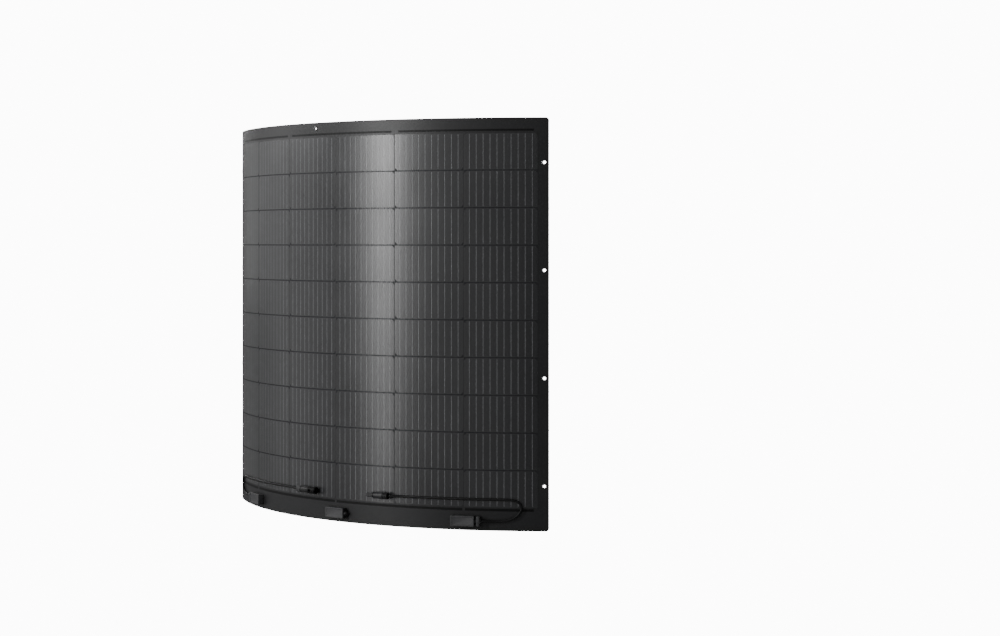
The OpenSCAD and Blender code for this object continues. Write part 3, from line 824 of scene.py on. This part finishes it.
def nut(name, at, side, x0, x1, body, node_name, mat):
    bm = bmesh.new()
    profile = [(x0, 3.6), (x0, 8.1), (x0 + 0.4, 8.5), (x0 + 2.4, 8.5), (x0 + 2.8, 8.5), (x0 + 3.6, 8.5),
               (x1 - 2.6, 8.5), (x1 - 1.5, 8.35), (x1 - 0.6, 7.7), (x1 - 0.15, 6.6), (x1, 5.4),
               (x1, 4.2), (x1 - 0.6, 3.6)]
    grooves = grips(12, 0.75 * MM, (x0 + 2.6) * MM, (x1 - 0.7) * MM)
    add_turned(bm, [(x * MM, r * MM) for x, r in profile], 96, grooves)
    made = finished(name, recalculated(bm), connector_matrix(at, side), [mat])
    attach(made, body)
    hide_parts(node_name)
    return made


def add_arm(bm, x0, x1, low, high, half_w):
    """A latch arm: a bar with a slanted hook at x0, and waists behind the hook and at its root x1."""
    corners = []
    waist = low + 0.35 * (high - low)
    for z in (-half_w, half_w):
        corners.append([bm.verts.new((x, -lift, z)) for x, lift in (
            (x0, low), (x1, low), (x1, waist), (x0 + 17.5 * MM, waist), (x0 + 17 * MM, high),
            (x0 + 10.5 * MM, high), (x0 + 10 * MM, waist), (x0 + 5 * MM, waist),
            (x0 + 4.7 * MM, high + 0.3 * MM), (x0 + 2.2 * MM, high + 0.3 * MM), (x0, low + 0.5 * MM))])
    a, b = corners
    bm.faces.new(a)
    bm.faces.new(list(reversed(b)))
    for n in range(len(a)):
        m = (n + 1) % len(a)
        bm.faces.new((a[n], b[n], b[m], a[m]))


def right_body():
    bm = bmesh.new()
    profile = [(-31.5, 4.5), (-31.5, 5.2), (-31.1, 5.6), (-13, 5.6), (-12.6, 5.8), (-12.6, 7.8),
               (-12.2, 8.2), (-9.6, 8.2), (-9.2, 7.8), (-9.2, 7.2), (-8.7, 7.2), (-8.7, 8.0),
               (-8.3, 8.4), (-7.5, 8.5), (-4, 8.5), (-3.6, 8.15), (-2.8, 8.15), (-2.4, 8.5), (10, 8.5),
               (14.9, 8.5), (15.4, 8.1), (15.5, 7.4), (15.5, 3.6), (2, 3.6), (2, 2.1), (-10, 2.1),
               (-10, 4.5)]
    add_turned(bm, [(x * MM, r * MM) for x, r in profile], 64)
    for turn in (0, 180):
        arm = bmesh.new()
        add_arm(arm, -30 * MM, -7 * MM, 6.7 * MM, 7.9 * MM, 2.5 * MM)
        arm.transform(Matrix.Rotation(math.radians(turn), 4, "X"))
        absorb(bm, arm)
    # Painted shade: the collar and groove band of the right shell takes the near-black nut plastic. It
    # stands in for the shade in the groove.
    for face in bm.faces:
        face.material_index = 1 if -12.7 * MM < face.calc_center_median().x < -8.6 * MM else 0
    made = finished("connector_shell_right", recalculated(bm), connector_matrix(RIGHT_CONNECTOR, 1),
                    [SHELL_MAT, NUT_MAT])
    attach(made, "strip_07")
    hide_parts("connector_body_right")
    return made


def left_body():
    bm = bmesh.new()
    profile = [(-36.5, 6.3), (-36.5, 8.3), (-36.0, 8.8), (-35, 8.9), (-12, 8.9), (-9.2, 8.9), (-8.6, 8.6),
               (-8.3, 7.9), (-4, 7.9), (-3.6, 7.6), (-2.8, 7.6), (-2.4, 7.9), (19.6, 7.9), (20.3, 7.6),
               (20.5, 7.0), (20.5, 3.6), (2, 3.6), (2, 2.1), (-10, 2.1), (-10, 6.3)]
    add_turned(bm, [(x * MM, r * MM) for x, r in profile], 64)
    at = connector_matrix(LEFT_CONNECTOR, -1)
    made = finished("connector_shell_left", recalculated(bm), at, [SLEEVE_PAINTED_SHADE_MAT])
    cutter_bm = bmesh.new()
    for turn in (0, 180):
        bmesh.ops.create_cube(cutter_bm, size=1, matrix=(
            Matrix.Rotation(math.radians(turn), 4, "X")
            @ Matrix.Translation((-18 * MM, -9 * MM, 0)) @ Matrix.Diagonal((8 * MM, 8 * MM, 6 * MM, 1))))
    cutter = finished("cutter", cutter_bm, at, [])
    cut = made.modifiers.new("windows", "BOOLEAN")
    cut.object, cut.solver = cutter, "EXACT"
    bpy.context.view_layer.update()
    result = bpy.data.meshes.new_from_object(made.evaluated_get(bpy.context.evaluated_depsgraph_get()))
    made.modifiers.clear()
    made.data = result
    bpy.data.objects.remove(cutter)
    made.data.materials.append(BARREL_MAT)
    # One moulding in two shades by place: the sleeve takes the near-black painted shade, and the rest
    # takes the dark grey barrel plastic.
    to_local = at.inverted()
    for face in made.data.polygons:
        face.material_index = 1 if (to_local @ face.center).x > -8.6 * MM else 0
    made.data.set_sharp_from_angle(angle=math.radians(SHARP_ANGLE))
    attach(made, "strip_05")
    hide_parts("connector_body_left")
    return made


shell_right, shell_left = right_body(), left_body()
nut_right = nut("connector_cap_right", RIGHT_CONNECTOR, 1, 15.6, 31.2, "strip_07",
                "connector_nut_right", NUT_MAT)
# The left nut's grey is painted light on the same nut plastic as the right one.
nut_left = nut("connector_cap_left", LEFT_CONNECTOR, -1, 20.6, 36.5, "strip_05",
               "connector_nut_left", NUT_PAINTED_LIGHT)


# ---------------------------------------------------------------- leads


def curve(a, b, c, d, t):
    """A point of a Catmull-Rom curve between b and c."""
    square = (2 * a - 5 * b + 4 * c - d) * t * t
    cube = (3 * b - a - 3 * c + d) * t * t * t
    return 0.5 * (2 * b + (c - a) * t + square + cube)


def smooth_route(route, step=2.5 * MM):
    """The route as (s, z, lift) vectors in metres, about a step apart."""
    knots = [Vector(q) * MM for q in route]
    out = []
    for k in range(len(knots) - 1):
        a, b, c, d = knots[max(k - 1, 0)], knots[k], knots[k + 1], knots[min(k + 2, len(knots) - 1)]
        n = max(1, round((c - b).length / step))
        out += [curve(a, b, c, d, j / n) for j in range(n)]
    return out + [knots[-1]]


def split_route(path, cuts):
    """Divides a path where it passes each cut along the sheet for the last time."""
    parts, start = [], 0
    for cut in cuts:
        crossings = [k for k in range(start + 1, len(path))
                     if (path[k - 1].x - cut) * (path[k].x - cut) <= 0]
        end = crossings[-1]
        a, b = path[end - 1], path[end]
        t = (cut - a.x) / (b.x - a.x)
        middle = a.lerp(b, t)
        parts.append(path[start:end] + [middle])
        path = path[:end] + [middle] + path[end:]
        start = end
    return parts + [path[start:]]


def lead_piece(name, part, before, after, sides=20):
    """A tube round the path's points; before and after are its neighbours' nearest points."""
    whole = ([before] if before else []) + part + ([after] if after else [])
    points = [place(q.x, q.y, q.z) for q in whole]
    first = 1 if before else 0
    verts, faces = [], []
    for k in range(first, first + len(part)):
        along = (points[min(k + 1, len(points) - 1)] - points[max(k - 1, 0)]).normalized()
        angle = whole[k].x / BEND_R
        out = Vector((math.sin(angle), -math.cos(angle), 0))
        across = along.cross(out).normalized()
        up = across.cross(along)
        for n in range(sides):
            a = 2 * math.pi * n / sides
            verts.append(points[k] + LEAD_D / 2 * (math.cos(a) * across + math.sin(a) * up))
    count = len(part)
    for k in range(count - 1):
        for n in range(sides):
            m = (n + 1) % sides
            faces.append((k * sides + n, (k + 1) * sides + n, (k + 1) * sides + m, k * sides + m))
    faces.append(tuple(range(sides)))
    faces.append(tuple((count - 1) * sides + n for n in reversed(range(sides))))
    mesh = bpy.data.meshes.new(name)
    mesh.from_pydata(verts, [], faces)
    mesh.materials.append(LEAD_MAT)
    mesh.shade_smooth()
    mesh.set_sharp_from_angle(angle=math.radians(LEAD_SHARP_ANGLE))
    made = linked(name, mesh)
    return made, points[first:first + count]


def lead(side, route, cuts, node_name):
    """One lead as a tube in pieces, each lying across one fold. It leaves its clamp at the
    third point of its route."""
    path = smooth_route(route)
    parts = split_route(path, [c * MM for c in cuts])
    for n, part in enumerate(parts):
        before = parts[n - 1][-2] if n else None
        after = parts[n + 1][1] if n + 1 < len(parts) else None
        piece, points = lead_piece(f"lead_{side}_{n + 1}", part, before, after)
        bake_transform(piece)
        if n == 0:
            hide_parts(node_name)


lead("right", RIGHT_ROUTE, [394, 293.5, 221.5],
     "lead_right")
lead("left", LEFT_ROUTE, [-385.25, -271, -184],
     "lead_left")


# ---------------------------------------------------------------- CAD nodes that stay


def refinish(name, *materials):
    mesh = frame["nodes"][name].data
    mesh.materials.clear()
    for mat in materials:
        mesh.materials.append(mat)


for side in ("left", "middle", "right"):
    refinish(f"bypass_diode_{side}", DIODE_MAT)
for side in ("left", "right"):
    refinish(f"connector_contact_{side}", TIN_MAT)
    refinish(f"connector_seal_{side}", SEAL_MAT)
    refinish(f"lead_pads_{side}", PAD_MAT)


# ---------------------------------------------------------------- stage, lights and camera

STUDIO_WHITE = 12.0  # how bright the floor and the backdrop look, enough for plain white
WORLD_FILL = 0.18  # how bright the world is to everything but the camera
FLOOR_REACH = 30

floor_mesh = bpy.data.meshes.new("floor")
floor_corners = [(x * FLOOR_REACH, y * FLOOR_REACH, 0) for x, y in ((-1, -1), (1, -1), (1, 1), (-1, 1))]
floor_mesh.from_pydata(floor_corners, [], [(0, 1, 2, 3)])
floor_mat, nodes, links, shader = new_material("pale_floor")
shader.inputs["Base Color"].default_value = (0.86, 0.86, 0.86, 1)
shader.inputs["Roughness"].default_value = 0.9
shader.inputs["Specular IOR Level"].default_value = 0.1
glowing = nodes.new("ShaderNodeEmission")
glowing.inputs["Strength"].default_value = STUDIO_WHITE
seen_floor = nodes.new("ShaderNodeMixShader")
links.new(nodes.new("ShaderNodeLightPath").outputs["Is Camera Ray"], seen_floor.inputs[0])
links.new(shader.outputs[0], seen_floor.inputs[1])
links.new(glowing.outputs[0], seen_floor.inputs[2])
links.new(seen_floor.outputs[0], nodes["Material Output"].inputs["Surface"])
floor_mesh.materials.append(floor_mat)
floor = linked("floor", floor_mesh)
floor.visible_glossy = False
floor.visible_shadow = False

world = bpy.data.worlds.new("studio")
bpy.context.scene.world = world
world.use_nodes = True
w_nodes, w_links = world.node_tree.nodes, world.node_tree.links
w_nodes.clear()
which = w_nodes.new("ShaderNodeMixShader")
w_links.new(w_nodes.new("ShaderNodeLightPath").outputs["Is Camera Ray"], which.inputs[0])
for strength, socket in ((WORLD_FILL, which.inputs[1]), (STUDIO_WHITE, which.inputs[2])):
    white = w_nodes.new("ShaderNodeBackground")
    white.inputs["Color"].default_value = (1, 1, 1, 1)
    white.inputs["Strength"].default_value = strength
    w_links.new(white.outputs[0], socket)
w_links.new(which.outputs[0], w_nodes.new("ShaderNodeOutputWorld").inputs["Surface"])


def soft_light(name, azimuth, low, high, width, glow, distance=3.5):
    """An upright rectangular light round the sheet, between two heights and facing its middle.
    azimuth is from -Y towards +X in degrees, and glow is its brightness."""
    a = math.radians(azimuth)
    data = bpy.data.lights.new(name, "AREA")
    data.shape = "RECTANGLE"
    data.size, data.size_y = width, high - low
    data.energy = glow * math.pi * width * (high - low)
    made = linked(name, data)
    middle = Vector((0, 0, (low + high) / 2))
    made.location = middle + Vector((distance * math.sin(a), -distance * math.cos(a), 0))
    made.rotation_euler = (middle - made.location).to_track_quat("-Z", "Y").to_euler()


# The key is one narrow strip in three lengths, each KEY_FALL times weaker than the one above.
# Broad walls of light stand to both sides and behind, all far weaker than the key's high length.
KEY_AZIMUTH, KEY_W = -19, 0.45
KEY_STRENGTH, KEY_FALL = 48, 2.7
KEY_LENGTHS = (("high", 1.3, 2.3), ("middle", 0.4, 1.3), ("low", -0.5, 0.4))
for step, (length, low, high) in enumerate(KEY_LENGTHS):
    soft_light("key_" + length, KEY_AZIMUTH, low, high, KEY_W, KEY_STRENGTH / KEY_FALL ** step)
soft_light("left_high", -68, 1.3, 2.5, 2.2, 4.5)
soft_light("left_low", -62, -0.5, 1.0, 2.2, 0.6)
soft_light("far_left", -125, 1.3, 2.5, 2.2, 8)
soft_light("side_middle", -92, 0.5, 1.25, 2.2, 0.4)
soft_light("side_low", -92, -0.5, 0.5, 2.2, 0.1)
soft_light("right_high", 24, 1.3, 2.5, 3.0, 0.75)
soft_light("right_low", 16, -0.5, 1.0, 2.4, 0.3)
soft_light("behind_right", 150, 0.5, 2.5, 2.2, 7)
soft_light("behind_left", 215, 0.2, 2.0, 2.2, 4)

CAMERA_X, CAMERA_Z = 3.6881, 0.7044
CAMERA_AHEAD = 3.8722  # how far in front of the middle of the sunny face
CAMERA_TURN = 39.154  # degrees to the left of +Y
SENSOR_W, LENS, SHIFT_Y = 36, 75.95, -0.0755

camera_data = bpy.data.cameras.new("camera")
camera_data.sensor_width = SENSOR_W
camera_data.lens = LENS
camera_data.shift_y = SHIFT_Y
camera = linked("camera", camera_data)
camera.location = (CAMERA_X, -CAMERA_AHEAD + AXIS_Y - BEND_R, CAMERA_Z)
camera.rotation_euler = (math.radians(90), 0, math.radians(CAMERA_TURN))
bpy.context.scene.camera = camera
